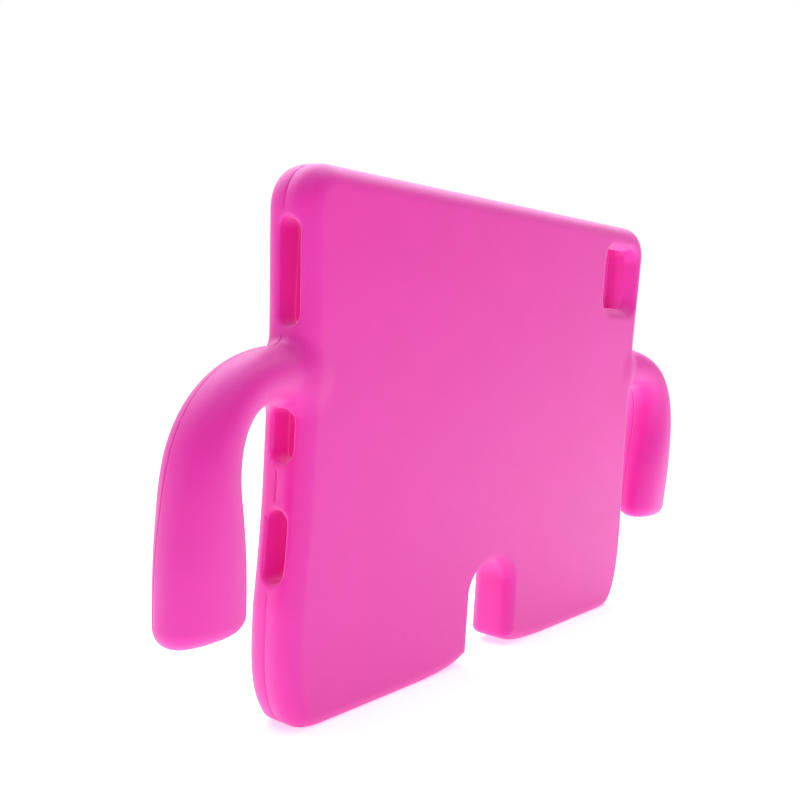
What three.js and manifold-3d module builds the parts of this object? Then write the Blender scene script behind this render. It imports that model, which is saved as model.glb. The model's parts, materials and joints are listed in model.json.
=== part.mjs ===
// Shockproof tablet case, moulded in one piece of foam: a thick rounded slab with two feet, two hanging
// side grips, a tablet pocket behind a raised front frame, three side slots and a camera window.
// Millimetres, +Z up, the screen side faces -Y and the closed back faces +Y.
// The case is drawn upright in its own plane (across = x, depth = y, up = z) and then leaned back.

import * as THREE from "three";
import { mergeVertices } from "three/addons/utils/BufferGeometryUtils.js";
import Module from "manifold-3d";

const wasm = await Module();
wasm.setup();

// Slab
const BODY_HEIGHT = 223;
const WAIST_WIDTH = 285;
const TOP_SPREAD = 3.2; // how much wider each side is at the top than at the waist
const FOOT_SPREAD = 4.5; // the same at the feet
const THICKNESS = 25;
const EDGE_RADIUS = 9.1;
const TOP_CORNER = 17.8;
const TOP_CORNER_POWER = 2.2;
const LEAN = THREE.MathUtils.degToRad(4.3);

// Feet
const NOTCH_WIDTH = 34.8;
const NOTCH_HEIGHT = 48.7;
const NOTCH_CROWN = 13.2;
const NOTCH_EDGE_RADIUS = { front: 7.6, back: 5.8 };
const NOTCH_MARGIN = { near: 10, far: 20 }; // how far from the notch its edge radius goes over to the slab's
const INNER_TOE = { across: 48, up: 9, power: 2.34 };
const OUTER_TOE = { across: 28.3, up: 50.5, power: 3.2 };
const SOLE_EDGE_RADIUS = { front: 4.6, back: 7.3 };
const SOLE_SLOPE = { from: 0.5, to: 1.08 }; // how far down an edge faces as its radius goes over to the sole's
const SOLE_REACH = 34; // no edge above this height is a sole's
const SOLE_FADE = 10;
const BEND_SHARE = 0.9; // share of the outline's own bend radius that an edge may take up
const BEND_EASE = 0.35; // how fast an edge's radius grows again away from a tight bend
const SOLE_TRIM = 1.5; // taken off under the feet so that the soles lie flat

// Side grips: how far out from the waist's side, and how high, their middle line runs
const GRIP_ROOT = { out: -4.3, up: 141.2 };
const GRIP_BEND = [
  { out: 22.9, up: 145.9 },
  { out: 43.4, up: 134.8 },
  { out: 41.7, up: 97.8 },
];
const GRIP_END = { out: 39.4, up: 48.7 };
const GRIP_END_RADIUS = 7.5;
const GRIP_POWER = 2.2;
// Half width in the case's plane, half depth, and shift to the back, at five even stations from root to end
const GRIP_STATIONS = [
  { wide: 12, deep: 11.6, back: 0 },
  { wide: 9.9, deep: 12.5, back: 3.6 },
  { wide: 12.6, deep: 14.4, back: 3.8 },
  { wide: 17.1, deep: 13.8, back: 4.4 },
  { wide: 19, deep: 11.6, back: 4.7 },
];
const ROOT_FILLET = 5;

// Joins and cuts leave slivers thinner than this, which are merged away
const SLIVER = 0.02;

// Tablet pocket, screen opening
const SIDE_WALL = 10;
const TOP_WALL = 10;
const SILL = 7.3; // foam between the notch and the pocket
const BACK_WALL = 8;
const TABLET_ROOM = 8;
const POCKET = {
  width: WAIST_WIDTH - 2 * SIDE_WALL,
  low: NOTCH_HEIGHT + SILL,
  high: BODY_HEIGHT - TOP_WALL,
  front: THICKNESS / 2 - BACK_WALL - TABLET_ROOM,
  back: THICKNESS / 2 - BACK_WALL,
  corner: 7,
};
const LIP_COVER = 5; // how far the front lip reaches over the tablet's edge
const LIP_THICKNESS = 3;
const FRAME_FLARE = 5; // how far the opening widens from the lip to the front face

// Slots through the wall at +X, their ends as shares of the pocket's height
const SLOTS = [
  { low: 0.6688, high: 0.9261, depth: 2 },
  { low: 0.335, high: 0.4713, depth: 1.8 },
  { low: 0.0331, high: 0.2172, depth: 1.1 },
];
const SLOT_WIDTH = 9.8;
const SLOT_RIM = 1;

// Camera window through the back, its middle measured in from the pocket's side and down from its top
const WINDOW_FACE = { in: 17.25, down: 20.85, halfWide: 19.75, halfHigh: 19.15, corner: 9 };
const WINDOW_BASE = { in: 17.75, down: 19.8, halfWide: 16.75, halfHigh: 16.2, corner: 7 };
const WINDOW_RIM = 2.4;

const FOAM = new THREE.MeshStandardMaterial({ color: 0xe648ab, roughness: 0.85, metalness: 0 });
FOAM.name = "eva_foam";

const smooth = (t) => {
  const c = THREE.MathUtils.clamp(t, 0, 1);
  return c * c * (3 - 2 * c);
};

// Half the slab's width at a height: narrow at the waist, wider at the top and the feet.
function sideAt(up) {
  const top = TOP_SPREAD * smooth((up - BODY_HEIGHT * 0.65) / (BODY_HEIGHT * 0.35));
  const foot = FOOT_SPREAD * smooth((BODY_HEIGHT * 0.45 - up) / (BODY_HEIGHT * 0.45));
  return WAIST_WIDTH / 2 + top + foot;
}

// A quarter of a superellipse, from its flat end at [0, 0] to its upright end at [across, up].
function quarter(across, up, power, steps) {
  return Array.from({ length: steps + 1 }, (_, i) => {
    const t = (i / steps) * (Math.PI / 2);
    return [across * Math.sin(t) ** (2 / power), up * (1 - Math.cos(t) ** (2 / power))];
  });
}

// The right half of the slab's outline, from the notch's crown round the foot to the middle of the top.
function halfOutline() {
  const notch = NOTCH_WIDTH / 2;
  const crown = Array.from({ length: 7 }, (_, i) => {
    const t = (i / 6) * (Math.PI / 2);
    return [notch * Math.sin(t), NOTCH_HEIGHT - NOTCH_CROWN * (1 - Math.cos(t))];
  });
  const wallTop = NOTCH_HEIGHT - NOTCH_CROWN;
  const wall = [1, 2, 3, 4, 5].map((i) => [notch, wallTop + ((INNER_TOE.up - wallTop) * i) / 6]);
  const inner = quarter(INNER_TOE.across, INNER_TOE.up, INNER_TOE.power, 9)
    .reverse()
    .map(([a, u]) => [notch + INNER_TOE.across - a, u]);
  const footSide = sideAt(OUTER_TOE.up);
  const outer = quarter(OUTER_TOE.across, OUTER_TOE.up, OUTER_TOE.power, 10).map(([a, u]) => [
    footSide - OUTER_TOE.across + a,
    u,
  ]);
  const sideTop = BODY_HEIGHT - TOP_CORNER;
  const side = Array.from({ length: 13 }, (_, i) => {
    const up = OUTER_TOE.up + ((sideTop - OUTER_TOE.up) * (i + 1)) / 14;
    return [sideAt(up), up];
  });
  const topSide = sideAt(sideTop);
  const corner = quarter(TOP_CORNER, TOP_CORNER, TOP_CORNER_POWER, 8)
    .reverse()
    .map(([a, u]) => [topSide - TOP_CORNER + a, BODY_HEIGHT - u]);
  return [...crown, ...wall, ...inner, ...outer, ...side, ...corner];
}

// The whole outline, counter-clockwise seen from the front.
function outline() {
  const right = halfOutline();
  const left = right
    .slice(1)
    .reverse()
    .map(([a, u]) => [-a, u]);
  return [...right, [0, BODY_HEIGHT], ...left];
}

// Outward unit normals of a closed outline.
function outwardNormals(points) {
  const n = points.length;
  return points.map((_, i) => {
    const [ax, ay] = points[(i + n - 1) % n];
    const [bx, by] = points[(i + 1) % n];
    const long = Math.hypot(bx - ax, by - ay);
    return [(by - ay) / long, (ax - bx) / long];
  });
}

// Radius of the bend of a closed outline at each point, without end where it is straight or bends inwards.
function bendRadii(points) {
  const n = points.length;
  return points.map(([x, y], i) => {
    const [ax, ay] = points[(i + n - 1) % n];
    const [bx, by] = points[(i + 1) % n];
    const cross = (x - ax) * (by - y) - (y - ay) * (bx - x);
    const sides = Math.hypot(x - ax, y - ay) * Math.hypot(bx - x, by - y) * Math.hypot(bx - ax, by - ay);
    return cross > 1e-6 ? sides / (2 * cross) : Infinity;
  });
}

// Radius of the rounded edge at each outline point on one face: the slab's own, the notch's near it, or the
// sole's where the edge faces down, and never more than the outline's bend there lets it be.
function edgeRadii(line, normals, face) {
  const side = face < 0 ? "front" : "back";
  const bends = bendRadii(line);
  const fade = (off) => smooth((NOTCH_MARGIN.far - off) / (NOTCH_MARGIN.far - NOTCH_MARGIN.near));
  return line.map(([a, u], i) => {
    const turned = smooth((-normals[i][1] - SOLE_SLOPE.from) / (SOLE_SLOPE.to - SOLE_SLOPE.from));
    const near = fade(Math.abs(a) - NOTCH_WIDTH / 2) * fade(u - NOTCH_HEIGHT);
    const high = THREE.MathUtils.lerp(EDGE_RADIUS, NOTCH_EDGE_RADIUS[side], near);
    const sole = turned * smooth((SOLE_REACH - u) / SOLE_FADE);
    const own = THREE.MathUtils.lerp(high, SOLE_EDGE_RADIUS[side], sole);
    const limits = line.map(([b, v], j) => BEND_SHARE * bends[j] + BEND_EASE * Math.hypot(a - b, u - v));
    return Math.min(own, ...limits);
  });
}

// A closed mesh from rings of equal length, with both end rings capped and its faces turned outwards.
function loft(rings) {
  const n = rings[0].length;
  const points = rings.flat();
  const faces = [];
  for (let r = 0; r + 1 < rings.length; r++) {
    for (let i = 0; i < n; i++) {
      const j = (i + 1) % n;
      const a = r * n + i;
      const b = r * n + j;
      faces.push([a, b, b + n], [a, b + n, a + n]);
    }
  }
  const last = (rings.length - 1) * n;
  faces.push(...cap(rings[0]).map(([a, b, c]) => [c, b, a]));
  faces.push(...cap(rings.at(-1)).map((f) => f.map((i) => i + last)));
  if (signedVolume(points, faces) < 0) faces.forEach((f) => f.reverse());
  const geometry = new THREE.BufferGeometry().setFromPoints(points);
  geometry.setIndex(faces.flat());
  return geometry;
}

// Triangles that fill a flat ring, running the same way round as the ring.
function cap(ring) {
  const normal = new THREE.Vector3();
  ring.forEach((p, i) => normal.add(new THREE.Vector3().crossVectors(p, ring[(i + 1) % ring.length])));
  const turn = new THREE.Quaternion().setFromUnitVectors(normal.normalize(), new THREE.Vector3(0, 0, 1));
  const flat = ring.map((p) => {
    const q = p.clone().applyQuaternion(turn);
    return new THREE.Vector2(q.x, q.y);
  });
  return THREE.ShapeUtils.triangulateShape(flat, []);
}

function signedVolume(points, faces) {
  return faces.reduce((sum, [a, b, c]) => {
    const cross = new THREE.Vector3().crossVectors(points[b], points[c]);
    return sum + points[a].dot(cross) / 6;
  }, 0);
}

// The slab: the outline swept through the thickness, its front and back edges rounded.
function slab() {
  const line = outline();
  const normals = outwardNormals(line);
  const steps = 4;
  const ring = (face, step) => {
    const angle = (step / steps) * (Math.PI / 2);
    const radii = edgeRadii(line, normals, face);
    return line.map(([a, u], i) => {
      const inset = radii[i] * (1 - Math.cos(angle));
      const depth = THICKNESS / 2 - radii[i] * (1 - Math.sin(angle));
      return new THREE.Vector3(a - normals[i][0] * inset, face * depth, u - normals[i][1] * inset);
    });
  };
  const half = Array.from({ length: steps + 1 }, (_, k) => k);
  return loft([...half.map((k) => ring(-1, steps - k)), ...half.map((k) => ring(1, k))]);
}

// The middle line of a grip, in the case's plane.
function gripLine() {
  const at = ({ out, up }) => new THREE.Vector3(WAIST_WIDTH / 2 + out, 0, up);
  const path = new THREE.CurvePath();
  path.add(new THREE.CubicBezierCurve3(at(GRIP_ROOT), ...GRIP_BEND.map(at)));
  path.add(new THREE.LineCurve3(at(GRIP_BEND.at(-1)), at(GRIP_END)));
  return path;
}

// A side grip: an oval section carried along the middle line, flared into the slab, its end cut flat and rounded.
function grip(side) {
  const line = gripLine();
  const length = line.getLength();
  const sizes = new THREE.CatmullRomCurve3(
    GRIP_STATIONS.map(({ wide, deep, back }) => new THREE.Vector3(wide, deep, back)),
  );
  const round = Array.from({ length: 24 }, (_, i) => (i / 24) * 2 * Math.PI);
  const bent = (value) => Math.sign(value) * Math.abs(value) ** (2 / GRIP_POWER);
  const section = (distance, shrink) => {
    const t = THREE.MathUtils.clamp(distance / length, 0, 1);
    const middle = line.getPointAt(t);
    const along = line.getTangentAt(t);
    const outward = new THREE.Vector3(-along.z, 0, along.x);
    const size = sizes.getPoint(t);
    const fromWall = Math.max(middle.x - sideAt(middle.z), 0);
    const flare = ROOT_FILLET * Math.max(1 - fromWall / ROOT_FILLET, 0) ** 2;
    return round.map((angle) => {
      const wide = (size.x + flare - shrink) * bent(Math.cos(angle));
      const deep = (size.y - shrink) * bent(Math.sin(angle)) + size.z;
      const p = middle.clone().addScaledVector(outward, wide);
      return new THREE.Vector3(side * p.x, deep, p.z);
    });
  };
  const last = length - GRIP_END_RADIUS;
  const body = Array.from({ length: 26 }, (_, i) => section(last * (i / 25) ** 1.15, 0));
  const end = [0.3, 0.55, 0.78, 0.93, 1].map((s) => {
    const angle = s * (Math.PI / 2);
    return section(last + GRIP_END_RADIUS * Math.sin(angle), GRIP_END_RADIUS * (1 - Math.cos(angle)));
  });
  return loft([...body, ...end]);
}

// A rounded rectangle as [across, up] points.
function roundedRect({ across, up, halfWide, halfHigh, corner }, grow = 0) {
  const steps = 6;
  const radius = Math.min(corner + grow, halfWide + grow, halfHigh + grow);
  const points = [];
  for (let quadrant = 0; quadrant < 4; quadrant++) {
    const sx = quadrant === 0 || quadrant === 3 ? 1 : -1;
    const sz = quadrant < 2 ? 1 : -1;
    for (let i = 0; i <= steps; i++) {
      const angle = (quadrant + i / steps) * (Math.PI / 2);
      points.push([
        across + sx * (halfWide + grow - radius) + radius * Math.cos(angle),
        up + sz * (halfHigh + grow - radius) + radius * Math.sin(angle),
      ]);
    }
  }
  return points;
}

// Rounded rectangles joined through the depth: each layer is [depth, rectangle, growth].
function layered(layers) {
  return loft(
    layers.map(([depth, rect, grow]) =>
      roundedRect(rect, grow).map(([a, u]) => new THREE.Vector3(a, depth, u)),
    ),
  );
}

const pocketRect = {
  across: 0,
  up: (POCKET.low + POCKET.high) / 2,
  halfWide: POCKET.width / 2,
  halfHigh: (POCKET.high - POCKET.low) / 2,
  corner: POCKET.corner,
};

// The space the tablet fills.
function pocket() {
  return layered([
    [POCKET.front, pocketRect, 0],
    [POCKET.back, pocketRect, 0],
  ]);
}

// The screen opening: straight through the lip, then widening to a rounded front edge.
function screenOpening() {
  const face = -THICKNESS / 2;
  const lip = POCKET.front - LIP_THICKNESS;
  const clear = (share) => -LIP_COVER + FRAME_FLARE * share;
  return layered([
    [POCKET.back - 1, pocketRect, clear(0)],
    [lip, pocketRect, clear(0)],
    [lip + (face - lip) * 0.6, pocketRect, clear(0.45)],
    [lip + (face - lip) * 0.88, pocketRect, clear(0.75)],
    [face, pocketRect, clear(1.2)],
    [face - 3, pocketRect, clear(1.2)],
  ]);
}

// The camera window: a flared hole through the back wall with a rounded rim.
function cameraWindow() {
  const face = THICKNESS / 2;
  const base = (share) => {
    const mix = (key) => THREE.MathUtils.lerp(WINDOW_BASE[key], WINDOW_FACE[key], share);
    return {
      across: -(POCKET.width / 2 - mix("in")),
      up: POCKET.high - mix("down"),
      halfWide: mix("halfWide"),
      halfHigh: mix("halfHigh"),
      corner: mix("corner"),
    };
  };
  return layered([
    [POCKET.back - 2, base(0), 0],
    [POCKET.back, base(0), 0],
    [face - WINDOW_RIM, base(0.6), 0],
    [face - WINDOW_RIM * 0.45, base(0.78), 0],
    [face - WINDOW_RIM * 0.12, base(0.94), 0],
    [face + 0.3, base(1), 0.8],
    [face + 4, base(1), 0.8],
  ]);
}

// A stadium slot from the pocket out through the side wall, its rim rounded where it meets the wall.
function slot({ low, high, depth }) {
  const half = SLOT_WIDTH / 2;
  const span = POCKET.high - POCKET.low;
  const middle = POCKET.low + ((low + high) / 2) * span;
  const rect = { across: depth, up: middle, halfWide: half, halfHigh: ((high - low) / 2) * span, corner: half };
  const steps = [0, 0.35, 0.7, 1].map((s) => s * (Math.PI / 2));
  const rim = steps.map((angle) => [-SLOT_RIM + SLOT_RIM * Math.sin(angle), SLOT_RIM * (1 - Math.cos(angle))]);
  const ring = (x, grow) => roundedRect(rect, grow).map(([d, u]) => new THREE.Vector3(x(d, u), d, u));
  const wall = (d, u) => sideAt(u) - wallDrop(d);
  return loft([
    ring(() => POCKET.width / 2 - 3, 0),
    ...rim.map(([out, grow]) => ring((d, u) => wall(d, u) + out, grow)),
    ring((d, u) => wall(d, u) + EDGE_RADIUS, SLOT_RIM),
  ]);
}

// How far the rounded front and back edges drop in from the side wall at a depth.
function wallDrop(depth) {
  const over = Math.abs(depth) - (THICKNESS / 2 - EDGE_RADIUS);
  return over <= 0 ? 0 : EDGE_RADIUS - Math.sqrt(Math.max(EDGE_RADIUS ** 2 - over ** 2, 0));
}

// A geometry as a solid for joining and cutting.
function solid(geometry) {
  const bare = geometry.clone();
  bare.deleteAttribute("normal");
  bare.deleteAttribute("uv");
  const merged = mergeVertices(bare, 1e-4);
  return new wasm.Manifold(
    new wasm.Mesh({
      numProp: 3,
      vertProperties: new Float32Array(merged.attributes.position.array),
      triVerts: new Uint32Array(merged.index.array),
    }),
  );
}

// A solid as a geometry with shaded normals.
function geometryOf(made) {
  const mesh = made.getMesh();
  const geometry = new THREE.BufferGeometry();
  geometry.setAttribute("position", new THREE.BufferAttribute(new Float32Array(mesh.vertProperties), 3));
  geometry.setIndex(new THREE.BufferAttribute(new Uint32Array(mesh.triVerts), 1));
  geometry.computeVertexNormals();
  return geometry;
}

// The whole case upright in its own plane.
function uprightCase() {
  let made = solid(slab()).add(solid(grip(1))).add(solid(grip(-1)));
  for (const cut of [pocket(), screenOpening(), cameraWindow(), ...SLOTS.map(slot)]) {
    made = made.subtract(solid(cut));
  }
  return made.simplify(SLIVER);
}

// Everything below the soles, taken off after leaning.
function ground() {
  const deep = 60;
  const box = new THREE.BoxGeometry(WAIST_WIDTH * 2, THICKNESS * 8, deep);
  box.translate(0, 0, SOLE_TRIM - deep / 2);
  return solid(box);
}

// The finished case: leaned back, soles cut level, its box centred over the origin and standing on z = 0.
function finishedCase() {
  const leaned = uprightCase().rotate([-THREE.MathUtils.radToDeg(LEAN), 0, 0]);
  const geometry = geometryOf(leaned.subtract(ground()).simplify(SLIVER));
  geometry.computeBoundingBox();
  const { min, max } = geometry.boundingBox;
  geometry.translate(-(min.x + max.x) / 2, -(min.y + max.y) / 2, -min.z);
  return geometry;
}

const root = new THREE.Group();
root.name = "shockproof_tablet_case";
const foamCase = new THREE.Mesh(finishedCase(), FOAM);
foamCase.name = "foam_case";
root.add(foamCase);

export default root;
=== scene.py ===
"""Shockproof tablet case of moulded EVA foam, dressed for Blender 4.5 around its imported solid.

The case is one moulding: a thick rounded slab on two feet, two hanging side grips, a tablet pocket behind
a raised front frame, three side slots and a camera window. Its surface is drawn as a distance field in the
case's own frame (x across, w to the back, v up), meshed finely, given its mould seam with Geometry Nodes,
and then leaned back into the row frame. Sizes are in millimetres and become metres in the mesh.
"""

from __future__ import annotations

import json
import logging
import math
from dataclasses import dataclass, field
from enum import Enum

import bpy
import numpy as np
from mathutils import Matrix, Vector

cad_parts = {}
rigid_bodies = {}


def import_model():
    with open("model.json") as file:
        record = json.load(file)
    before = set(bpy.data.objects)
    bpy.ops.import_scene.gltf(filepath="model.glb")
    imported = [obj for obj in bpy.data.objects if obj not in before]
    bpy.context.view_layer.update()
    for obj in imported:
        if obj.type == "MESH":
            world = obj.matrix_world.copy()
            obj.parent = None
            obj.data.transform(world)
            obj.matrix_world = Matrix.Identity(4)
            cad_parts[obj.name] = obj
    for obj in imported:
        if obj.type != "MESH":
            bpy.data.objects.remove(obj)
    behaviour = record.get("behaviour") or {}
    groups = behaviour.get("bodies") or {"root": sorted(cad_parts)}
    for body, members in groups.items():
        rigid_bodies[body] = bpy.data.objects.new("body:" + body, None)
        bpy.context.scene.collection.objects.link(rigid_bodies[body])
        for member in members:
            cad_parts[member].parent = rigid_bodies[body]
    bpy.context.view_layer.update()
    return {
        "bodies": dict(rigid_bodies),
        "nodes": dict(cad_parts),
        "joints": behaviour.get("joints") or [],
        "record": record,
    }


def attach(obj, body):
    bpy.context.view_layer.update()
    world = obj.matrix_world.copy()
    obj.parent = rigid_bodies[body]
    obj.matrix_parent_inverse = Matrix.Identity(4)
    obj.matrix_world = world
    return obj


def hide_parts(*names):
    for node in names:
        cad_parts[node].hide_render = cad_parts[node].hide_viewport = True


LOG = logging.getLogger("tablet_case")
Array = np.ndarray
MM = 0.001
LEAN = math.radians(4.3)
# Points that are measured against a line at a time, which keeps the memory small
BATCH = 20000


def smooth_step(t: Array) -> Array:
    """A soft step from 0 to 1 as t goes from 0 to 1."""
    c = np.clip(t, 0.0, 1.0)
    return c * c * (3.0 - 2.0 * c)


def fade_in(distance: Array, start: float, width: float) -> Array:
    """A straight ramp from 0 at a start to 1 a width further on."""
    return np.clip((distance - start) / width, 0.0, 1.0)


def smooth_min(a: Array, b: Array, blend: float) -> Array:
    """The lesser of two distances, with a fillet where they are within blend of each other."""
    near = np.clip(blend - np.abs(a - b), 0.0, None) / blend
    return np.minimum(a, b) - near * near * blend * 0.25


def smooth_max(a: Array, b: Array, blend: float) -> Array:
    """The greater of two distances, with a fillet where they are within blend of each other."""
    return -smooth_min(-a, -b, blend)


def rounded_join(across: Array, through: Array, radius: Array | float) -> Array:
    """Distance to a form whose two walls meet in a rounded edge of that radius."""
    inside = np.minimum(np.maximum(across, through), 0.0)
    return inside + np.hypot(np.maximum(across, 0.0), np.maximum(through, 0.0)) - radius


def superellipse_quarter(across: float, up: float, power: float, steps: int) -> Array:
    """A quarter of a superellipse, from its flat end at (0, 0) to its upright end at (across, up)."""
    t = np.linspace(0.0, math.pi / 2.0, steps + 1)
    return np.stack([across * np.sin(t) ** (2.0 / power), up * (1.0 - np.cos(t) ** (2.0 / power))], 1)


def nearest_on_line(points: Array, line: Array) -> tuple[Array, Array]:
    """Finds the nearest place on an open line for each point.

    Args:
        points: Points in the plane, one a row.
        line: The line's corners, one a row.

    Returns:
        The distance and the arc length along the line.
    """
    start, step = line[:-1], np.diff(line, axis=0)
    square = (step**2).sum(1)
    length = np.sqrt(square)
    run = np.concatenate([[0.0], np.cumsum(length)[:-1]])
    distance, arc = np.empty(len(points)), np.empty(len(points))
    for first in range(0, len(points), BATCH):
        part = slice(first, first + BATCH)
        reach = points[part, None] - start[None]
        share = np.clip((reach * step).sum(2) / square, 0.0, 1.0)
        miss = reach - share[..., None] * step
        best = np.argmin((miss**2).sum(2), 1)
        row = np.arange(len(best))
        off = miss[row, best]
        distance[part] = np.hypot(off[:, 0], off[:, 1])
        arc[part] = run[best] + share[row, best] * length[best]
    return distance, arc


@dataclass(frozen=True)
class RoundRect:
    """A rounded rectangle in the plane of the case."""

    across: float
    up: float
    half_wide: float
    half_high: float
    corner: float

    def distance(self, x: Array, v: Array) -> Array:
        """Finds the distance from its edge.

        Args:
            x: Across.
            v: Up.

        Returns:
            The distance at each point, less than 0 inside.
        """
        over_x = np.abs(x - self.across) - self.half_wide + self.corner
        over_v = np.abs(v - self.up) - self.half_high + self.corner
        return rounded_join(over_x, over_v, self.corner)


@dataclass(frozen=True)
class Slab:
    """The thick rounded slab with its two feet."""

    height: float = 223.0
    waist: float = 285.0
    # How far each side spreads above and below the waist, and the shares of the height where that starts
    top_spread: float = 3.2
    top_from: float = 0.65
    foot_spread: float = 4.5
    foot_from: float = 0.45
    thickness: float = 25.0
    edge_radius: float = 9.1
    sole_front: float = 4.6
    sole_back: float = 7.3
    # How far down an edge faces as its radius goes over to the sole's, and the height where that ends
    sole_slope: tuple[float, float] = (0.5, 1.08)
    sole_reach: float = 34.0
    sole_fade: float = 10.0
    top_corner: float = 17.8
    top_power: float = 2.2
    notch_width: float = 34.8
    notch_height: float = 48.7
    notch_crown: float = 13.2
    notch_front: float = 7.6
    notch_back: float = 5.8
    # How far from the notch its edge radius goes over to the slab's
    notch_near: float = 10.0
    notch_far: float = 20.0
    inner_toe: tuple[float, float, float] = (48.0, 9.0, 2.34)
    outer_toe: tuple[float, float, float] = (28.3, 50.5, 3.2)
    sole_trim: float = 1.5

    def side(self, v: Array | float) -> Array | float:
        """Half the slab's width at a height: narrow at the waist, wider at the top and the feet.

        Args:
            v: The height.

        Returns:
            Half the width at that height.
        """
        waist_top, waist_foot = self.height * self.top_from, self.height * self.foot_from
        top = self.top_spread * smooth_step((v - waist_top) / (self.height - waist_top))
        foot = self.foot_spread * smooth_step((waist_foot - v) / waist_foot)
        return self.waist / 2.0 + top + foot

    def half_outline(self, steps: int = 32) -> Array:
        """The +X half of the outline, from the notch's crown round the foot to the middle of the top.

        Args:
            steps: How many points each curve has.

        Returns:
            The outline's corners, one a row.
        """
        notch = self.notch_width / 2.0
        t = np.linspace(0.0, math.pi / 2.0, steps)
        crown = np.stack([notch * np.sin(t), self.notch_height - self.notch_crown * (1.0 - np.cos(t))], 1)
        across, up, power = self.inner_toe
        inner = superellipse_quarter(across, up, power, steps)[::-1]
        inner = np.stack([notch + across - inner[:, 0], inner[:, 1]], 1)
        across, up, power = self.outer_toe
        outer = superellipse_quarter(across, up, power, steps)
        outer[:, 0] += self.side(up) - across
        shoulder = self.height - self.top_corner
        v = np.linspace(up, shoulder, steps)[1:-1]
        wall = np.stack([self.side(v), v], 1)
        corner = superellipse_quarter(self.top_corner, self.top_corner, self.top_power, steps)[::-1]
        corner_from = self.side(shoulder) - self.top_corner
        corner = np.stack([corner_from + corner[:, 0], self.height - corner[:, 1]], 1)
        return np.concatenate([crown, inner, outer, wall, corner, [[0.0, self.height]]])

    def plane_distance(self, points: Array) -> Array:
        """Signed distance from the outline in the plane, for points with x at or above 0.

        Args:
            points: Points in the plane with x at or above 0, one a row.

        Returns:
            The distance at each point, less than 0 inside.
        """
        line = self.half_outline()
        distance, _ = nearest_on_line(points, line)
        x, v = points[:, 0] + 1e-9, points[:, 1] + 1e-7
        inside = np.zeros(len(points), bool)
        for start, end in zip(line, np.roll(line, -1, axis=0)):
            spans = (start[1] > v) != (end[1] > v)
            cross = (end[0] - start[0]) * (v - start[1]) / (end[1] - start[1] + 1e-30) + start[0]
            inside ^= spans & (x < cross)
        return np.where(inside, -distance, distance)


@dataclass(frozen=True)
class Grip:
    """A hanging side grip: an oval section carried along a bent line, its end cut flat and rounded."""

    root: tuple[float, float] = (-4.3, 141.2)
    bend: tuple[tuple[float, float], ...] = ((22.9, 145.9), (43.4, 134.8), (41.7, 97.8))
    end: tuple[float, float] = (39.4, 48.7)
    end_radius: float = 7.5
    power: float = 2.2
    # Half width in the case's plane, half depth and shift to the back, at even stations from root to end
    stations: tuple[tuple[float, float, float], ...] = (
        (12.0, 11.6, 0.0),
        (9.9, 12.5, 3.6),
        (12.6, 14.4, 3.8),
        (17.1, 13.8, 4.4),
        (19.0, 11.6, 4.7),
    )
    root_fillet: float = 6.5
    overrun: float = 30.0

    def line(self, half_waist: float, steps: int = 80) -> Array:
        """The middle line in the plane, carried on past the end by the overrun.

        Args:
            half_waist: Half the slab's width at the waist.
            steps: How many points the bend has.

        Returns:
            The line's corners, one a row.
        """
        p = [np.array([half_waist + out, up]) for out, up in (self.root, *self.bend)]
        t = np.linspace(0.0, 1.0, steps)[:, None]
        u = 1.0 - t
        curve = u**3 * p[0] + 3.0 * u**2 * t * p[1] + 3.0 * u * t**2 * p[2] + t**3 * p[3]
        end = np.array([half_waist + self.end[0], self.end[1]])
        straight = np.linalg.norm(end - p[3])
        run = np.linspace(0.0, straight + self.overrun, 12)[1:, None]
        return np.concatenate([curve, p[3] + (end - p[3]) / straight * run])

    def length(self, half_waist: float) -> float:
        """Length of the middle line from the root to the end."""
        steps = np.diff(self.line(half_waist), axis=0)
        return float(np.hypot(steps[:, 0], steps[:, 1]).sum()) - self.overrun

    def section(self, share: Array) -> tuple[Array, Array, Array]:
        """Half width, half depth and shift to the back at a share of the length.

        Args:
            share: How far along the length, from 0 at the root to 1 at the end.

        Returns:
            Half width, half depth and shift at each share, by a smooth curve through the stations.
        """
        rows = np.array(self.stations)
        rows = np.concatenate([[2.0 * rows[0] - rows[1]], rows, [2.0 * rows[-1] - rows[-2]]])
        place = np.clip(share, 0.0, 1.0) * (len(self.stations) - 1)
        index = np.minimum(place.astype(int), len(self.stations) - 2)
        f = (place - index)[..., None]
        a, b, c, d = (rows[index + i] for i in range(4))
        cubic = 3.0 * b - a - 3.0 * c + d
        mixed = 0.5 * (2.0 * b + (c - a) * f + (2.0 * a - 5.0 * b + 4.0 * c - d) * f**2 + cubic * f**3)
        return mixed[..., 0], mixed[..., 1], mixed[..., 2]

    def distance(
        self, off: Array, arc: Array, w: Array, size: tuple[Array, Array, Array], length: float
    ) -> Array:
        """Distance from the grip's surface.

        Args:
            off: How far a point is from the middle line, in the plane.
            arc: How far along the line it is.
            w: Its depth.
            size: Half width, half depth and shift to the back there.
            length: The line's length from root to end.

        Returns:
            The distance, less than 0 inside.
        """
        wide, deep, back = size
        u, d = np.abs(off) / wide, np.abs(w - back) / deep
        level = (u**self.power + d**self.power + 1e-12) ** (1.0 / self.power)
        slope = np.hypot(u ** (self.power - 1.0) / wide, d ** (self.power - 1.0) / deep)
        tube = (level - 1.0) / np.maximum(slope * level ** (1.0 - self.power), 1e-3)
        tube = np.where(level < 0.5, -0.5 * np.minimum(wide, deep), tube)
        tube = np.maximum(tube, -1.5 * self.end_radius) + self.end_radius
        return rounded_join(tube, arc - (length - self.end_radius), self.end_radius)


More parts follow.
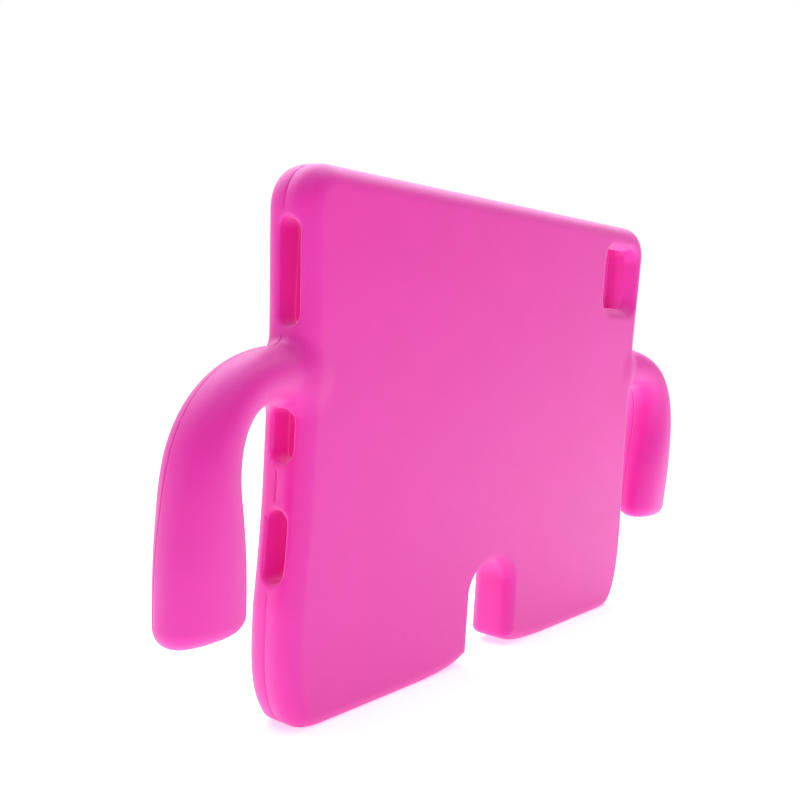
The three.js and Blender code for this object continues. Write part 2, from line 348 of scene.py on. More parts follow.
@dataclass(frozen=True)
class Pocket:
    """The room for the tablet and the framed screen opening in front of it."""

    side_wall: float = 10.0
    top_wall: float = 10.0
    sill: float = 7.3
    back_wall: float = 8.0
    room: float = 8.0
    corner: float = 7.0
    lip_cover: float = 5.0
    lip_thickness: float = 3.0
    frame_flare: float = 6.0
    flare_power: float = 1.6
    # The flare goes on past the front face by this share, and its slanted walls' distances are scaled down
    flare_end: float = 1.6
    flare_scale: float = 0.85
    inner_fillet: float = 0.8
    screen_fillet: float = 0.5

    def plan(self, slab: Slab) -> RoundRect:
        """The room's rounded rectangle in the plane.

        Args:
            slab: The slab it lies in.

        Returns:
            The rounded rectangle.
        """
        low, high = slab.notch_height + self.sill, slab.height - self.top_wall
        half_wide = slab.waist / 2.0 - self.side_wall
        return RoundRect(0.0, (low + high) / 2.0, half_wide, (high - low) / 2.0, self.corner)

    def back(self, slab: Slab) -> float:
        """Depth of the wall behind the tablet."""
        return slab.thickness / 2.0 - self.back_wall

    def distance(self, slab: Slab, x: Array, w: Array, v: Array) -> Array:
        """Distance from the room and the screen opening, less than 0 in the empty space.

        Args:
            slab: The slab they lie in.
            x: Across.
            w: To the back.
            v: Up.

        Returns:
            The distance at each point.
        """
        back = self.back(slab)
        front = back - self.room
        edge = self.plan(slab).distance(x, v)
        room = smooth_max(edge, np.abs(w - (front + back) / 2.0) - self.room / 2.0, self.inner_fillet)
        lip, face = front - self.lip_thickness, -slab.thickness / 2.0
        share = np.clip((lip - w) / (lip - face), 0.0, self.flare_end)
        opening = edge + self.lip_cover - self.frame_flare * share**self.flare_power
        screen = smooth_max(opening * self.flare_scale, w - (back - 1.0), self.screen_fillet)
        return smooth_min(room, screen, self.inner_fillet)


@dataclass(frozen=True)
class CameraWindow:
    """The flared window through the back wall, near the top on the -X side."""

    # In from the pocket's side and down from its top, half width, half height, corner
    face: tuple[float, float, float, float, float] = (17.25, 20.85, 19.75, 19.15, 9.0)
    base: tuple[float, float, float, float, float] = (17.75, 19.8, 16.75, 16.2, 7.0)
    rim: float = 2.6
    # The flare goes on past the back face by this share, and its slanted walls' distances are scaled down
    flare_end: float = 1.2
    flare_scale: float = 0.8
    # How far it reaches into the pocket's room, and its blend there
    inner_reach: float = 2.0
    inner_fillet: float = 0.5

    def distance(self, slab: Slab, pocket: Pocket, x: Array, w: Array, v: Array) -> Array:
        """Distance from the window's walls, less than 0 in the empty space.

        Args:
            slab: The slab it is cut in.
            pocket: The pocket it opens into.
            x: Across.
            w: To the back.
            v: Up.

        Returns:
            The distance at each point.
        """
        back = pocket.back(slab)
        plan = pocket.plan(slab)
        share = np.clip((w - back) / pocket.back_wall, 0.0, self.flare_end)
        inward, down, wide, high, corner = (b + (f - b) * share for f, b in zip(self.face, self.base))
        shape = RoundRect(inward - plan.half_wide, plan.up + plan.half_high - down, wide, high, corner)
        walls = shape.distance(x, v) * self.flare_scale
        return smooth_max(walls, back - self.inner_reach - w, self.inner_fillet)


@dataclass(frozen=True)
class SideSlots:
    """The three stadium slots through the +X wall, their ends as shares of the pocket's height."""

    ends: tuple[tuple[float, float, float], ...] = (
        (0.6688, 0.9261, 2.0),
        (0.335, 0.4713, 1.8),
        (0.0331, 0.2172, 1.1),
    )
    width: float = 9.8
    rim: float = 1.8
    # How far they reach past the outline, and back into the pocket's room
    reach: float = 4.0
    inner_reach: float = 3.0

    def distance(
        self, slab: Slab, pocket: Pocket, x: Array, w: Array, v: Array, outline: Array
    ) -> Array:
        """Distance from the slots' walls, less than 0 in the empty space.

        Args:
            slab: The slab they are cut in.
            pocket: The pocket they open into.
            x: Across.
            w: To the back.
            v: Up.
            outline: Distance from the slab's outline, where the slots end.

        Returns:
            The distance at each point.
        """
        plan = pocket.plan(slab)
        low, span = plan.up - plan.half_high, 2.0 * plan.half_high
        half = self.width / 2.0
        made = np.full(np.broadcast(x, w, v).shape, 1e3)
        for start, end, depth in self.ends:
            middle = low + (start + end) / 2.0 * span
            straight = (end - start) / 2.0 * span - half
            hole = np.hypot(w - depth, np.maximum(np.abs(v - middle) - straight, 0.0)) - half
            made = np.minimum(made, np.maximum(hole, plan.half_wide - self.inner_reach - x))
        return np.maximum(made, outline - self.reach)


class PlaneMap(Enum):
    """What the case keeps for every place in its plane, worked out once."""

    OUTLINE = 0
    SOLE = 1
    NOTCH = 2
    GRIP_OFF = 3
    GRIP_ARC = 4
    GRIP_WIDE = 5
    GRIP_DEEP = 6
    GRIP_BACK = 7


@dataclass
class FoamBody:
    """The whole moulding as one distance field in the case's own frame."""

    slab: Slab = field(default_factory=Slab)
    grip: Grip = field(default_factory=Grip)
    pocket: Pocket = field(default_factory=Pocket)
    window: CameraWindow = field(default_factory=CameraWindow)
    slots: SideSlots = field(default_factory=SideSlots)
    cell: float = 0.75
    margin: float = 8.0
    sole_edge: float = 0.8
    corner: tuple[float, float] = field(init=False)
    grip_length: float = field(init=False)
    maps: Array = field(init=False)

    def __post_init__(self) -> None:
        """Works out the plane maps."""
        half = self.slab.waist / 2.0
        reach = half + self.grip.end[0] + self.grip.stations[-1][0] + self.margin
        xs = np.arange(-self.cell * 3.0, reach, self.cell)
        vs = np.arange(-self.margin, self.slab.height + self.margin, self.cell)
        self.corner = (xs[0], vs[0])
        across, up = np.meshgrid(xs, vs, indexing="ij")
        points = np.stack([np.abs(across).ravel(), up.ravel()], 1)
        outline = self.slab.plane_distance(points).reshape(across.shape)
        fall = np.clip(-np.gradient(outline, self.cell, axis=1), 0.0, 1.0)
        low = smooth_step((self.slab.sole_reach - up) / self.slab.sole_fade)
        start, end = self.slab.sole_slope
        sole = smooth_step((fall - start) / (end - start)) * low
        fade = self.slab.notch_far - self.slab.notch_near
        beside = smooth_step((self.slab.notch_width / 2.0 + self.slab.notch_far - np.abs(across)) / fade)
        notch = beside * smooth_step((self.slab.notch_height + self.slab.notch_far - up) / fade)
        self.grip_length = self.grip.length(half)
        off, arc = nearest_on_line(points, self.grip.line(half))
        wide, deep, back = self.grip.section(arc / self.grip_length)
        rows = [outline.ravel(), sole.ravel(), notch.ravel(), off, arc, wide, deep, back]
        self.maps = np.stack(rows, -1).reshape(*across.shape, len(PlaneMap))

    def plane(self, x: Array, v: Array) -> Array:
        """The plane maps at points, by straight interpolation.

        Args:
            x: Across.
            v: Up.

        Returns:
            The maps at each point, in the order of PlaneMap.
        """
        fx = np.clip((np.abs(x) - self.corner[0]) / self.cell, 0.0, self.maps.shape[0] - 1.001)
        fv = np.clip((v - self.corner[1]) / self.cell, 0.0, self.maps.shape[1] - 1.001)
        i, j = fx.astype(int), fv.astype(int)
        a, b = (fx - i)[..., None], (fv - j)[..., None]
        low = self.maps[i, j] * (1.0 - a) + self.maps[i + 1, j] * a
        high = self.maps[i, j + 1] * (1.0 - a) + self.maps[i + 1, j + 1] * a
        return low * (1.0 - b) + high * b

    def distance(self, x: Array, w: Array, v: Array, maps: Array | None = None) -> Array:
        """Distance from the case's surface, less than 0 in the foam.

        Args:
            x: Across.
            w: To the back.
            v: Up.
            maps: The plane maps at those places, where they are known already.

        Returns:
            The distance at each point, in millimetres.
        """
        maps = self.plane(x, v) if maps is None else maps
        outline, sole, notch, off, arc, wide, deep, back = np.moveaxis(maps, -1, 0)
        slab = self.slab
        notch_radius = np.where(w > 0.0, slab.notch_back, slab.notch_front)
        high_radius = slab.edge_radius + (notch_radius - slab.edge_radius) * notch
        sole_radius = np.where(w > 0.0, slab.sole_back, slab.sole_front)
        radius = high_radius + (sole_radius - high_radius) * sole
        body = rounded_join(outline + radius, np.abs(w) - slab.thickness / 2.0 + radius, radius)
        grip = self.grip.distance(off, arc, w, (wide, deep, back), self.grip_length)
        made = smooth_min(body, grip, self.grip.root_fillet)
        ground = w * math.sin(LEAN) - v * math.cos(LEAN) + slab.sole_trim
        made = smooth_max(made, ground, self.sole_edge)
        empty = self.pocket.distance(slab, x, w, v)
        empty = smooth_min(empty, self.window.distance(slab, self.pocket, x, w, v), self.pocket.inner_fillet)
        made = smooth_max(made, -empty, self.window.rim)
        return smooth_max(made, -self.slots.distance(slab, self.pocket, x, w, v, outline), self.slots.rim)

    def slope(self, points: Array, reach: float = 0.15) -> Array:
        """The field's gradient at points.

        Args:
            points: Points, one a row.
            reach: How far to each side the field is read.

        Returns:
            The gradient at each point.
        """
        made = np.empty_like(points)
        for axis in range(3):
            ahead, behind = points.copy(), points.copy()
            ahead[:, axis] += reach
            behind[:, axis] -= reach
            made[:, axis] = (self.distance(*ahead.T) - self.distance(*behind.T)) / (2.0 * reach)
        return made


@dataclass(frozen=True)
class SurfaceMesher:
    """Meshes a distance field by surface nets on a grid that is finest at the mould seam."""

    pitch: float = 1.0
    seam_planes: tuple[float, ...] = (-1.4, -0.8, -0.5, -0.2, 0.2, 0.5, 0.8, 1.4)
    # Room round the case, in front of it, beside it, below it and above it
    margin_front: float = 2.0
    margin_side: float = 4.0
    margin_low: float = 3.5
    margin_high: float = 4.0
    rounds: int = 2
    longest_step: float = 0.6
    # The least squared gradient that a step is worked out from
    least_slope: float = 0.2

    def grid(self, body: FoamBody) -> tuple[Array, Array, Array]:
        """The grid's places across, to the back and up.

        Args:
            body: The field to mesh.

        Returns:
            The places along each axis, in order.
        """
        half = body.slab.waist / 2.0 + body.grip.end[0] + body.grip.stations[-1][0] + self.margin_side
        xs = np.arange(0.5, half / self.pitch + 1.0) * self.pitch
        xs = np.concatenate([-xs[::-1], xs])
        front = -body.slab.thickness / 2.0 - self.margin_front
        grip_back = max(deep + shift for _, deep, shift in body.grip.stations)
        back = grip_back + self.margin_front + 2.0 * self.pitch
        edge = self.seam_planes[-1]
        ahead = np.arange(edge + self.pitch, back, self.pitch)
        behind = np.arange(edge + self.pitch, -front, self.pitch)
        ws = np.concatenate([-behind[::-1], self.seam_planes, ahead])
        vs = np.arange(-self.margin_low, body.slab.height + self.margin_high, self.pitch)
        return xs, ws, vs

    def build(self, body: FoamBody) -> tuple[Array, Array]:
        """Makes the mesh.

        Args:
            body: The field to mesh.

        Returns:
            Its points in the case's frame, and its quads with their outsides outwards.
        """
        axes = self.grid(body)
        across, up = np.meshgrid(axes[0], axes[2], indexing="ij")
        maps = body.plane(across, up)
        level = np.empty((len(axes[0]), len(axes[1]), len(axes[2])), np.float32)
        for row, w in enumerate(axes[1]):
            level[:, row] = body.distance(across, np.full_like(across, w), up, maps)
        inside = level < 0.0
        cells = tuple(n - 1 for n in level.shape)
        corners = [(i, j, k) for i in (0, 1) for j in (0, 1) for k in (0, 1)]
        full = np.zeros(cells, np.int8)
        for i, j, k in corners:
            full += inside[i : i + cells[0], j : j + cells[1], k : k + cells[2]]
        active = (full > 0) & (full < len(corners))
        where = np.argwhere(active)
        index = np.full(cells, -1, np.int64)
        index[active] = np.arange(len(where))
        points = self.cell_points(level, where, axes)
        quads = [self.quads_along(axis, inside, index, cells) for axis in range(3)]
        return self.settle(body, points), np.concatenate(quads)

    def cell_points(self, level: Array, where: Array, axes: tuple[Array, Array, Array]) -> Array:
        """One point in each cell that the surface crosses, at the mean of its edge crossings.

        Args:
            level: The field at the grid's places.
            where: The crossed cells, one a row.
            axes: The grid's places along each axis.

        Returns:
            One point for each of those cells.
        """
        total, hits = np.zeros((len(where), 3)), np.zeros(len(where))
        for axis in range(3):
            for first in (0, 1):
                for second in (0, 1):
                    low = np.zeros(3, int)
                    low[(axis + 1) % 3], low[(axis + 2) % 3] = first, second
                    high = low.copy()
                    high[axis] = 1
                    start, end = (level[tuple((where + offset).T)] for offset in (low, high))
                    crosses = (start < 0.0) != (end < 0.0)
                    place = np.tile(low.astype(float), (len(where), 1))
                    place[:, axis] = np.where(crosses, start / (start - end + 1e-12), 0.0)
                    total += place * crosses[:, None]
                    hits += crosses
        local = total / hits[:, None]
        columns = []
        for axis, places in enumerate(axes):
            low = places[where[:, axis]]
            columns.append(low + local[:, axis] * (places[where[:, axis] + 1] - low))
        return np.stack(columns, 1)

    def quads_along(self, axis: int, inside: Array, index: Array, cells: tuple[int, ...]) -> Array:
        """The quads round every grid edge along an axis that the surface crosses.

        Args:
            axis: 0 across, 1 to the back or 2 up.
            inside: Which of the grid's places lie in the foam.
            index: Each cell's point, or -1.
            cells: How many cells there are along each axis.

        Returns:
            The quads, with their outsides outwards.
        """
        second, third = (axis + 1) % 3, (axis + 2) % 3
        length = inside.shape[axis]
        near = np.take(inside, range(length - 1), axis)
        far = np.take(inside, range(1, length), axis)
        edges = np.argwhere(near != far)
        fits = (edges[:, second] > 0) & (edges[:, third] > 0)
        fits &= (edges[:, second] < cells[second]) & (edges[:, third] < cells[third])
        edges = edges[fits]
        ring = []
        for back_second, back_third in ((0, 0), (1, 0), (1, 1), (0, 1)):
            cell = edges.copy()
            cell[:, second] -= back_second
            cell[:, third] -= back_third
            ring.append(index[tuple(cell.T)])
        quads = np.stack(ring, 1)
        inwards = ~near[tuple(edges.T)]
        quads[inwards] = quads[inwards][:, ::-1]
        return quads

    def settle(self, body: FoamBody, points: Array) -> Array:
        """Moves the points onto the field's surface.

        Args:
            body: The field.
            points: The points to move, one a row.

        Returns:
            The moved points.
        """
        for _ in range(self.rounds):
            slope = body.slope(points)
            steep = np.maximum((slope**2).sum(1), self.least_slope)
            step = np.clip(body.distance(*points.T) / steep, -self.longest_step, self.longest_step)
            points = points - step[:, None] * slope
        return points


def srgb(code: str) -> tuple[float, float, float, float]:
    """An sRGB hex colour as linear red, green, blue and alpha.

    Args:
        code: Six hex digits.

    Returns:
        The four linear values.
    """
    levels = [int(code[i : i + 2], 16) / 255.0 for i in (0, 2, 4)]
    linear = [c / 12.92 if c <= 0.04045 else ((c + 0.055) / 1.055) ** 2.4 for c in levels]
    return (linear[0], linear[1], linear[2], 1.0)


def add_node(
    tree: bpy.types.NodeTree, kind: str, settings: dict | None = None, links: dict | None = None
) -> bpy.types.Node:
    """Adds a node to a tree.

    Args:
        tree: The tree.
        kind: The node's type name.
        settings: Values for its properties, or for its input sockets by name or number.
        links: The sockets that feed its inputs, by name or number.

    Returns:
        The new node.
    """
    node = tree.nodes.new(kind)
    for key, value in (settings or {}).items():
        if isinstance(key, str) and hasattr(node, key):
            setattr(node, key, value)
        else:
            node.inputs[key].default_value = value
    for key, socket in (links or {}).items():
        tree.links.new(socket, node.inputs[key])
    return node


@dataclass(frozen=True)
class MouldSeam:
    """The parting line left by the mould's two halves: a fine groove in the slab's middle plane."""

    depth: float = 0.4
    width: float = 0.5
    skin: str = "outer_skin"
    # Where the groove starts and how far it takes to reach its depth, counted from the pocket, the slots,
    # the notch's sides, the notch's crown and the floor
    from_pocket: tuple[float, float] = (4.0, 3.0)
    from_slots: tuple[float, float] = (3.2, 0.6)
    beside_notch: tuple[float, float] = (8.0, 3.0)
    above_notch: tuple[float, float] = (2.0, 3.0)
    above_floor: tuple[float, float] = (0.6, 1.5)

    def tree(self, lean: float, plane_at: float, material: bpy.types.Material) -> bpy.types.NodeTree:
        """The Geometry Nodes tree that presses the groove into the outer skin.

        Args:
            lean: How far the case leans back, in radians.
            plane_at: Where the middle plane lies along the case's depth, in metres.
            material: The finish it sets.

        Returns:
            The tree, with named inputs for the groove's sizes.
        """
        tree = bpy.data.node_groups.new("mould_seam", "GeometryNodeTree")
        face = tree.interface
        face.new_socket("Geometry", in_out="INPUT", socket_type="NodeSocketGeometry")
        for name, value in (("Seam Depth", self.depth), ("Seam Width", self.width)):
            socket = face.new_socket(name, in_out="INPUT", socket_type="NodeSocketFloat")
            socket.subtype = "DISTANCE"
            socket.default_value = value * MM
        face.new_socket("Geometry", in_out="OUTPUT", socket_type="NodeSocketGeometry")
        given = add_node(tree, "NodeGroupInput").outputs
        place = add_node(tree, "GeometryNodeInputPosition").outputs[0]
        normal = add_node(tree, "GeometryNodeInputNormal").outputs[0]
        named = {"data_type": "FLOAT", "Name": self.skin}
        skin = add_node(tree, "GeometryNodeInputNamedAttribute", named).outputs[0]
        axis = Vector((0.0, math.cos(lean), -math.sin(lean)))
        depth = add_node(tree, "ShaderNodeVectorMath", {"operation": "DOT_PRODUCT", 1: axis}, {0: place})
        level = depth.outputs["Value"]
        off = add_node(tree, "ShaderNodeMath", {"operation": "SUBTRACT", 1: plane_at}, {0: level})
        far = add_node(tree, "ShaderNodeMath", {"operation": "ABSOLUTE"}, {0: off.outputs[0]})
        ramp = add_node(
            tree,
            "ShaderNodeMapRange",
            {"interpolation_type": "SMOOTHSTEP", "To Min": 1.0, "To Max": 0.0},
            {"Value": far.outputs[0], "From Max": given["Seam Width"]},
        )
        times = {"operation": "MULTIPLY"}
        kept = add_node(tree, "ShaderNodeMath", times, {0: ramp.outputs[0], 1: skin})
        press = add_node(tree, "ShaderNodeMath", times, {0: kept.outputs[0], 1: given["Seam Depth"]})
        inward = add_node(tree, "ShaderNodeMath", {"operation": "MULTIPLY", 1: -1.0}, {0: press.outputs[0]})
        pushed = {0: normal, "Scale": inward.outputs[0]}
        shift = add_node(tree, "ShaderNodeVectorMath", {"operation": "SCALE"}, pushed)
        moved = add_node(
            tree, "GeometryNodeSetPosition", {}, {"Geometry": given["Geometry"], "Offset": shift.outputs[0]}
        )
        real = add_node(tree, "GeometryNodeRealizeInstances", {}, {"Geometry": moved.outputs[0]})
        dressed = add_node(
            tree, "GeometryNodeSetMaterial", {"Material": material}, {"Geometry": real.outputs[0]}
        )
        add_node(tree, "NodeGroupOutput", {}, {"Geometry": dressed.outputs[0]})
        return tree


@dataclass(frozen=True)
class EvaFoamFinish:
    """Closed-cell EVA foam, skinned against a matt mould.

    The skin is soft and matt with a broad faint sheen, and the mould's fine sand texture breaks it up. The
    colour is deep, so that hollows stay saturated while the skin's gloss and bloom make lit edges pale.
    """

    colour: str = "F507AA"
    deep: str = "F307A7"
    pale: str = "F708AD"
    # The skin's gloss and its faint bloom are cooler than the foam
    gloss: str = "9DCBFF"
    bloom: str = "EBE6FF"
    bloom_weight: float = 0.35
    bloom_roughness: float = 0.5
    ior: float = 1.55
    gloss_level: float = 1.0
    roughness: float = 0.5
    # How much smoother and rougher the grain makes the skin
    smoother: float = 0.05
    rougher: float = 0.06
    # The mould's sand texture is 0.15 mm on the real skin, drawn at 0.6 mm so that it shows
    grain: float = 0.6
    grain_depth: float = 0.1
    grain_strength: float = 0.5
    # Soft unevenness of the skin after cooling
    wave: float = 14.0
    wave_depth: float = 0.12
    wave_strength: float = 0.35
    # Clouds of slightly deeper and paler foam
    mottle: float = 32.0

    def noise(
        self, tree: bpy.types.NodeTree, size: float, detail: float, roughness: float
    ) -> bpy.types.NodeSocket:
        """Adds a noise pattern in the case's own space.

        Args:
            tree: The material's tree.
            size: The pattern's size, in millimetres.
            detail: How many finer layers it has.
            roughness: How strong those layers are.

        Returns:
            The pattern's value, from 0 to 1.
        """
        place = add_node(tree, "ShaderNodeTexCoord").outputs["Object"]
        settings = {"Scale": 1.0 / (size * MM), "Detail": detail, "Roughness": roughness}
        return add_node(tree, "ShaderNodeTexNoise", settings, {"Vector": place}).outputs["Fac"]

    def build(self) -> bpy.types.Material:
        """Makes the material.

        Returns:
            The foam's material.
        """
        material = bpy.data.materials.new("moulded_eva_foam")
        material.use_nodes = True
        tree = material.node_tree
        tree.nodes.clear()
        mottle = self.noise(tree, self.mottle, 3.0, 0.55)
        grain = self.noise(tree, self.grain, 2.0, 0.6)
        wave = self.noise(tree, self.wave, 1.0, 0.4)
        tone = add_node(tree, "ShaderNodeValToRGB", {}, {"Fac": mottle})
        stops = tone.color_ramp.elements
        stops[0].position, stops[0].color = 0.3, srgb(self.deep)
        stops[1].position, stops[1].color = 0.7, srgb(self.pale)
        middle = stops.new(0.5)
        middle.color = srgb(self.colour)
        speck = add_node(
            tree,
            "ShaderNodeMapRange",
            {
                "From Min": 0.3,
                "From Max": 0.7,
                "To Min": self.roughness - self.smoother,
                "To Max": self.roughness + self.rougher,
            },
            {"Value": grain},
        )
        low = add_node(
            tree,
            "ShaderNodeBump",
            {"Strength": self.wave_strength, "Distance": self.wave_depth * MM},
            {"Height": wave},
        )
        fine = add_node(
            tree,
            "ShaderNodeBump",
            {"Strength": self.grain_strength, "Distance": self.grain_depth * MM},
            {"Height": grain, "Normal": low.outputs[0]},
        )
        shader = add_node(
            tree,
            "ShaderNodeBsdfPrincipled",
            {
                "IOR": self.ior,
                "Specular IOR Level": self.gloss_level,
                "Specular Tint": srgb(self.gloss),
                "Sheen Weight": self.bloom_weight,
                "Sheen Roughness": self.bloom_roughness,
                "Sheen Tint": srgb(self.bloom),
            },
            {"Base Color": tone.outputs[0], "Roughness": speck.outputs[0], "Normal": fine.outputs[0]},
        )
        add_node(tree, "ShaderNodeOutputMaterial", {}, {"Surface": shader.outputs[0]})
        return material


@dataclass
class FoamCase:
    """The whole case: meshes the moulding, presses the seam and dresses it."""

    node: str = "foam_case"
    slot: str = "eva_foam"
    body: FoamBody = field(default_factory=FoamBody)
    mesher: SurfaceMesher = field(default_factory=SurfaceMesher)
    seam: MouldSeam = field(default_factory=MouldSeam)
    finish: EvaFoamFinish = field(default_factory=EvaFoamFinish)
    # How many triangles the finished mesh may have
    triangles: int = 185000

    def shift(self, frame: dict) -> float:
        """Finds how far the leaned case moves along Y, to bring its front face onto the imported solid's.


        Returns:
            The move along Y, in millimetres.
        """
        node = frame["nodes"][self.node]
        places = np.array([v.co for v in node.data.vertices]) / MM
        depth = (places @ np.array([0.0, math.cos(LEAN), -math.sin(LEAN)])).min()
        centre = depth + self.body.slab.thickness / 2.0
        return (centre - self.body.slab.sole_trim * math.sin(LEAN)) / math.cos(LEAN)

    def leaned(self, points: Array, shift: float) -> Array:
        """Leans points of the case's own frame into the row frame.

        Args:
            points: Points in the case's own frame, in millimetres.
            shift: The move along Y, in millimetres.

        Returns:
            The points in the row frame, in metres.
        """
        x, w, v = points.T
        y = w * math.cos(LEAN) + v * math.sin(LEAN) + shift
        z = -w * math.sin(LEAN) + v * math.cos(LEAN) - self.body.slab.sole_trim
        return np.stack([x, y, z], 1) * MM

    def outer_skin(self, points: Array) -> Array:
        """Marks the outer skin with 1, and the pocket, the slots, the notch and the soles with 0.

        Args:
            points: Points in the case's own frame.

        Returns:
            A value from 0 to 1 at each point.
        """
        x, w, v = points.T
        slab, pocket = self.body.slab, self.body.pocket
        empty = pocket.plan(slab).distance(x, v)
        outline = self.body.plane(x, v)[:, PlaneMap.OUTLINE.value]
        slots = self.body.slots.distance(slab, pocket, x, w, v, outline)
        clear = fade_in(empty, *self.seam.from_pocket) * fade_in(slots, *self.seam.from_slots)
        ground = v * math.cos(LEAN) - w * math.sin(LEAN) - slab.sole_trim
        beside = fade_in(np.abs(x) - slab.notch_width / 2.0, *self.seam.beside_notch)
        above = fade_in(v - slab.notch_height, *self.seam.above_notch)
        return clear * np.maximum(beside, above) * fade_in(ground, *self.seam.above_floor)

    def build(self, frame: dict) -> bpy.types.Object:
        """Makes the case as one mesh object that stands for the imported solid.


        Returns:
            The finished piece.
        """
        points, quads = self.mesher.build(self.body)
        LOG.info("case meshed: %d points, %d quads", len(points), len(quads))
        shift = self.shift(frame)
        mesh = bpy.data.meshes.new("foam_case_skin")
        mesh.from_pydata(self.leaned(points, shift).tolist(), [], quads.tolist())
        mesh.shade_smooth()
        skin = mesh.attributes.new(self.seam.skin, "FLOAT", "POINT")
        skin.data.foreach_set("value", self.outer_skin(points).astype(np.float32))
        draft = bpy.data.objects.new("foam_case_draft", mesh)
        bpy.context.scene.collection.objects.link(draft)
        material = self.finish.build()
        plane_at = (math.cos(LEAN) * shift + math.sin(LEAN) * self.body.slab.sole_trim) * MM
        seam = draft.modifiers.new("mould_seam", "NODES")
        seam.node_group = self.seam.tree(LEAN, plane_at, material)
        thin = draft.modifiers.new("fewer_faces", "DECIMATE")
        thin.ratio = min(1.0, self.triangles / (2.0 * len(quads)))
        made = self.plain_copy(draft, "moulded_case")
        bpy.data.objects.remove(draft)
        made.data.materials.clear()
        made.data.materials.append(material)
        made.data.shade_smooth()
        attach(made, "root")
        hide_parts(self.node)
        return made

    def plain_copy(self, source: bpy.types.Object, name: str) -> bpy.types.Object:
        """A plain mesh object of what a source object's modifiers make.

        Args:
            source: The object with the modifiers.
            name: The new object's name.

        Returns:
            The new object.
        """
        evaluated = source.evaluated_get(bpy.context.evaluated_depsgraph_get())
        mesh = bpy.data.meshes.new_from_object(evaluated)
        mesh.name = name
        made = bpy.data.objects.new(name, mesh)
        bpy.context.scene.collection.objects.link(made)
        return made


@dataclass(frozen=True)
class SoftLight:
    """A rectangular softbox: where it stands, what it points at, its size and its power."""

    name: str
    place: tuple[float, float, float]
    aim: tuple[float, float, float]
    size: tuple[float, float]
    power: float

    def build(self) -> bpy.types.Object:
        """Makes the light.

        Returns:
            The light's object.
        """
        data = bpy.data.lights.new(self.name, "AREA")
        data.shape = "RECTANGLE"
        data.size, data.size_y = self.size
        data.energy = self.power
        lamp = bpy.data.objects.new(self.name, data)
        lamp.location = self.place
        lamp.rotation_euler = (Vector(self.aim) - Vector(self.place)).to_track_quat("-Z", "Y").to_euler()
        bpy.context.scene.collection.objects.link(lamp)
        return lamp


@dataclass(frozen=True)
class OverheadLight:
    """A wide even light from above, which lights the floor the same all over."""

    name: str
    source: tuple[float, float, float]
    strength: float
    spread: float
    height: float = 2.0

    def build(self) -> bpy.types.Object:
        """Makes the light.

        Returns:
            The light's object.
        """
        data = bpy.data.lights.new(self.name, "SUN")
        data.energy = self.strength
        data.angle = self.spread
        lamp = bpy.data.objects.new(self.name, data)
        lamp.location = Vector(self.source) * self.height
        lamp.rotation_euler = Vector(self.source).to_track_quat("Z", "Y").to_euler()
        bpy.context.scene.collection.objects.link(lamp)
        return lamp


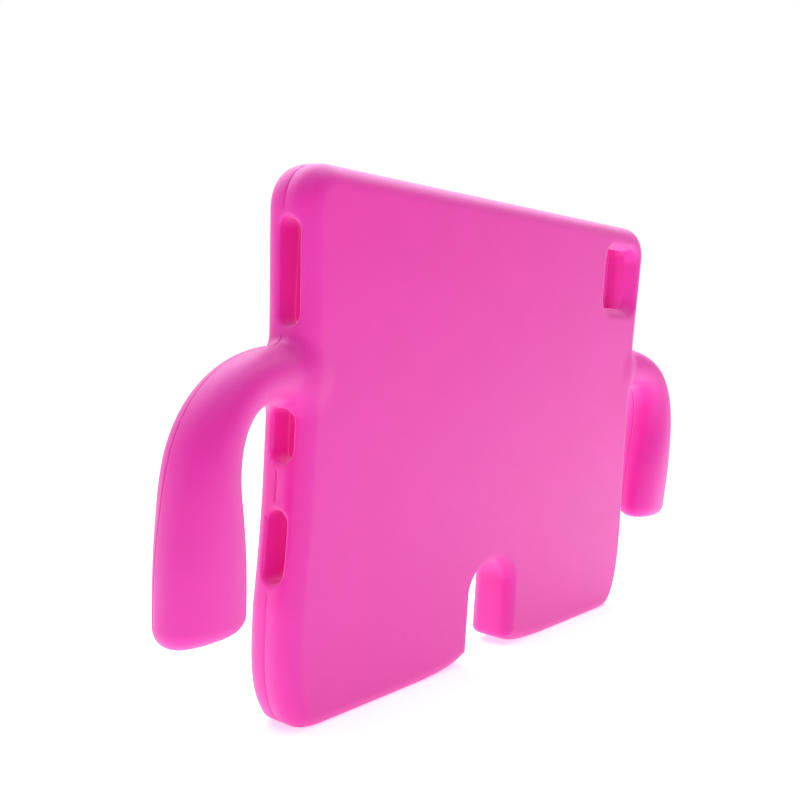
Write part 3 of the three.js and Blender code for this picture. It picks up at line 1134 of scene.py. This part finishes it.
@dataclass
class Studio:
    """A pale floor, soft lights and the camera at the photograph's viewing angle."""

    # Camera: position in metres, turn from -Y towards -X, drop below the horizon and roll in degrees
    camera_at: tuple[float, float, float] = (0.42878, 0.28001, 0.14775)
    turn: float = 52.38
    drop: float = 2.47
    roll: float = 0.03
    focal_pixels: float = 1043.57
    frame_pixels: float = 800.0
    sensor: float = 36.0
    floor_half: float = 6.0
    floor_colour: str = "FAFAFA"
    floor_roughness: float = 0.6
    # The sheet is lit from below as well, so that it reads as white as the photograph's ground
    floor_glow: float = 0.56
    # The world lights the case softly, and is plain white behind it
    world_colour: str = "FFFFFF"
    fill: float = 0.3
    backdrop: float = 1.0
    lights: tuple[SoftLight, ...] = (
        SoftLight("left_softbox", (1.0, -0.8, 0.45), (0.0, 0.0, 0.12), (0.8, 0.8), 0.3),
        SoftLight("front_softbox", (0.9, 0.7, 0.9), (0.0, 0.0, 0.12), (0.8, 0.8), 0.5),
        SoftLight("high_softbox", (-0.5, -0.25, 1.0), (0.0, 0.0, 0.15), (1.1, 1.1), 10.0),
        SoftLight("rear_softbox", (0.1, -0.6, 0.75), (0.0, 0.0, 0.2), (0.8, 0.5), 3.0),
    )
    overhead: tuple[OverheadLight, ...] = (
        OverheadLight("ceiling", (0.0, 0.0, 1.0), 0.9, math.radians(80.0)),
    )

    def camera(self) -> bpy.types.Object:
        """Makes the camera.

        Returns:
            The camera's object.
        """
        data = bpy.data.cameras.new("camera")
        data.sensor_width = self.sensor
        data.lens = self.focal_pixels * self.sensor / self.frame_pixels
        data.clip_start, data.clip_end = 0.01, 50.0
        camera = bpy.data.objects.new("camera", data)
        turn, drop, roll = (math.radians(a) for a in (self.turn, self.drop, self.roll))
        level = math.cos(drop)
        ahead = Vector((-math.sin(turn) * level, -math.cos(turn) * level, -math.sin(drop)))
        right = Vector((-math.cos(turn), math.sin(turn), 0.0))
        down = ahead.cross(right)
        rolled_right = right * math.cos(roll) + down * math.sin(roll)
        rolled_down = down * math.cos(roll) - right * math.sin(roll)
        axes = Matrix((rolled_right, -rolled_down, -ahead)).transposed()
        camera.matrix_world = Matrix.Translation(self.camera_at) @ axes.to_4x4()
        bpy.context.scene.collection.objects.link(camera)
        bpy.context.scene.camera = camera
        return camera

    def floor(self) -> bpy.types.Object:
        """Makes the floor.

        Returns:
            The floor's object.
        """
        h = self.floor_half
        mesh = bpy.data.meshes.new("floor")
        mesh.from_pydata([(-h, -h, 0.0), (h, -h, 0.0), (h, h, 0.0), (-h, h, 0.0)], [], [(0, 1, 2, 3)])
        floor = bpy.data.objects.new("floor", mesh)
        bpy.context.scene.collection.objects.link(floor)
        material = bpy.data.materials.new("white_acrylic_sheet")
        material.use_nodes = True
        tree = material.node_tree
        tree.nodes.clear()
        shader = add_node(
            tree,
            "ShaderNodeBsdfPrincipled",
            {
                "Base Color": srgb(self.floor_colour),
                "Roughness": self.floor_roughness,
                "Specular IOR Level": 0.0,
                "Emission Color": srgb(self.floor_colour),
                "Emission Strength": self.floor_glow,
            },
        )
        add_node(tree, "ShaderNodeOutputMaterial", {}, {"Surface": shader.outputs[0]})
        mesh.materials.append(material)
        return floor

    def world(self) -> None:
        """Makes the plain bright surroundings."""
        world = bpy.data.worlds.new("studio")
        bpy.context.scene.world = world
        world.use_nodes = True
        tree = world.node_tree
        tree.nodes.clear()
        colour = srgb(self.world_colour)
        fill = add_node(tree, "ShaderNodeBackground", {"Color": colour, "Strength": self.fill})
        sweep = add_node(tree, "ShaderNodeBackground", {"Color": colour, "Strength": self.backdrop})
        path = add_node(tree, "ShaderNodeLightPath").outputs["Is Camera Ray"]
        shaders = {0: path, 1: fill.outputs[0], 2: sweep.outputs[0]}
        glow = add_node(tree, "ShaderNodeMixShader", {}, shaders)
        add_node(tree, "ShaderNodeOutputWorld", {}, {"Surface": glow.outputs[0]})

    def build(self) -> None:
        """Makes the whole studio."""
        bpy.context.scene.view_settings.view_transform = "Standard"
        self.world()
        self.floor()
        for light in (*self.lights, *self.overhead):
            light.build()
        self.camera()


def main() -> None:
    """Builds the case and its studio in order."""
    logging.basicConfig(level=logging.INFO, format="%(name)s: %(message)s")
    for thing in list(bpy.data.objects):
        bpy.data.objects.remove(thing)
    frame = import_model()
    mesher = SurfaceMesher()
    case = FoamCase(mesher=mesher).build(frame)
    LOG.info("piece %s: %d faces, stands for %s", case.name, len(case.data.polygons), FoamCase.node)
    Studio().build()
    bpy.context.view_layer.update()


if __name__ == "__main__":
    main()
